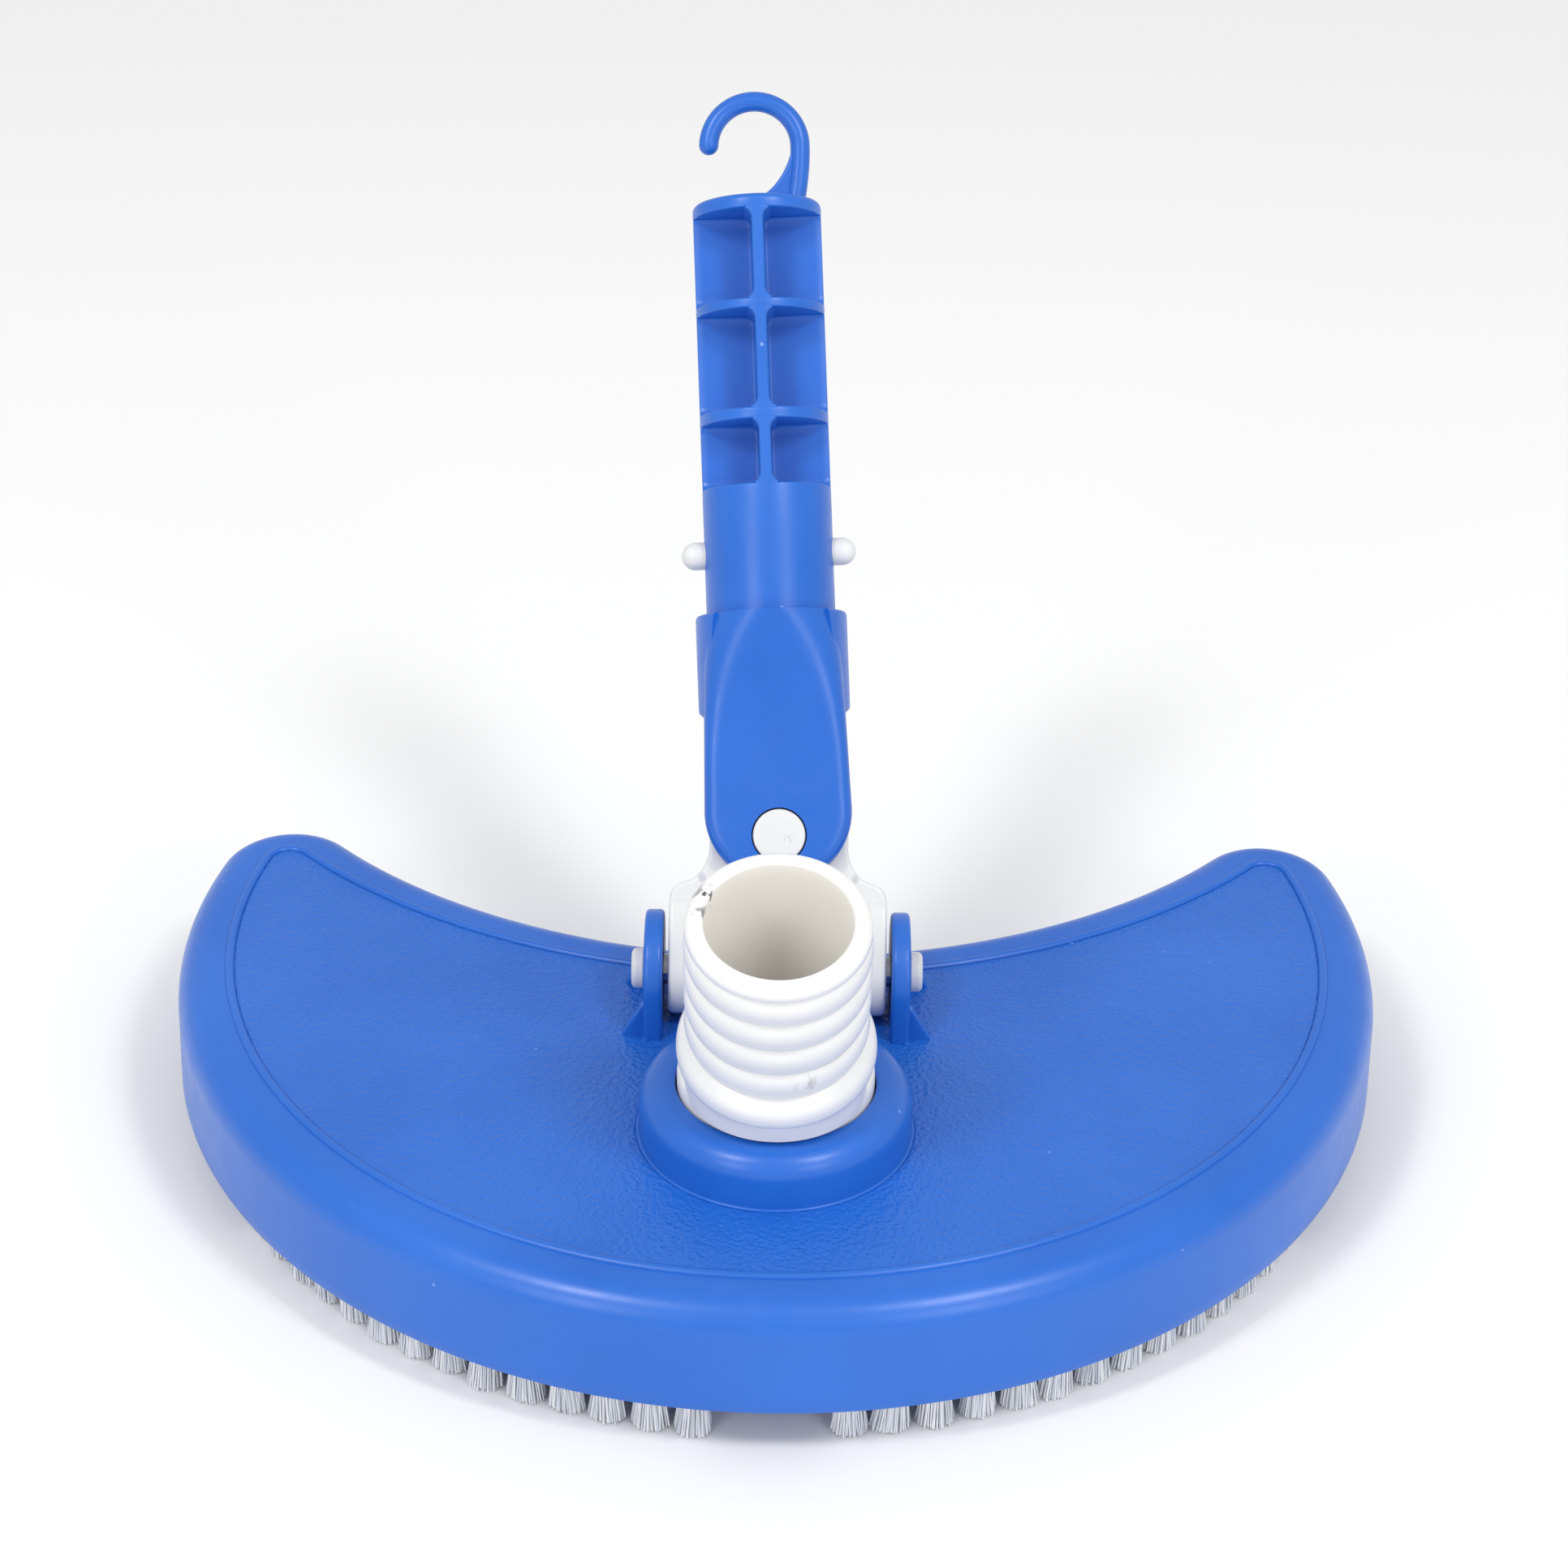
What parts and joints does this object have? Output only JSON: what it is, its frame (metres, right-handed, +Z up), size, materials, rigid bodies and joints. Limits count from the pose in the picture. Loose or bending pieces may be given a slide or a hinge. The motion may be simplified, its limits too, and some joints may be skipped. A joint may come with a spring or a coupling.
{
  "type": "pool vacuum head",
  "caption": "Half-moon weighted pool vacuum head with bristle strips, a swivelling ribbed hose connector and a tilting snap-in pole handle with a hanging hook.",
  "frame": {"origin": "on the floor, under the middle of the whole object's box", "axes": "+Z up, +X to the right along the half moon's width, +Y to the back, where the handle leans"},
  "size_m": [0.277, 0.2131, 0.2138],
  "materials": {
    "blue_plastic": "satin moulded, fine leather grain on the top face",
    "white_plastic": "satin moulded",
    "seal_rubber": "matte",
    "steel": "bright",
    "ballast": "plain bar",
    "bristles": "translucent nylon bristle"
  },
  "bodies": {
    "head": {"shell": "blue_plastic", "base_plate": "blue_plastic", "brush_front_left": "bristles", "brush_front_right": "bristles", "brush_rear_left": "bristles", "brush_rear_right": "bristles", "weight_left": "ballast", "weight_right": "ballast", "base_screw_1": "steel", "base_screw_2": "steel", "base_screw_3": "steel", "base_screw_4": "steel", "base_screw_5": "steel", "base_screw_6": "steel", "connector_seal": "seal_rubber", "connector_retainer": "white_plastic", "pivot_axle": "steel", "axle_cap_left": "white_plastic", "axle_cap_right": "white_plastic"},
    "connector": {"hose_connector": "white_plastic"},
    "yoke": {"yoke": "white_plastic"},
    "handle": {"handle": "blue_plastic", "clevis_pin": "white_plastic", "clevis_pin_cap": "white_plastic", "button_spring": "white_plastic"},
    "button_left": {"button_left": "white_plastic"},
    "button_right": {"button_right": "white_plastic"}
  },
  "joints": [
    {"name": "connector_swivel", "type": "hinge", "parent": "head", "child": "connector", "pos_m": [0, -0.04399, 0.037], "axis": [0, 0, 1], "continuous": true},
    {"name": "yoke_tilt", "type": "hinge", "parent": "head", "child": "yoke", "pos_m": [0, -0.00019, 0.0475], "axis": [1, 0, 0], "range_deg": [-40, 15]},
    {"name": "handle_swing", "type": "hinge", "parent": "yoke", "child": "handle", "pos_m": [0, 0.01582, 0.07263], "axis": [0, -0.8434, 0.5373], "range_deg": [-47.9, 42.1]},
    {"name": "button_left_press", "type": "slide", "parent": "handle", "child": "button_left", "axis": [0.9987, 0.0272, 0.0427], "range_m": [0, 0.005], "stiffness_N_per_m": 900, "deforming": ["button_spring"]},
    {"name": "button_right_press", "type": "slide", "parent": "handle", "child": "button_right", "axis": [-0.9987, -0.0272, -0.0427], "range_m": [0, 0.005], "stiffness_N_per_m": 900, "deforming": ["button_spring"]}
  ]
}
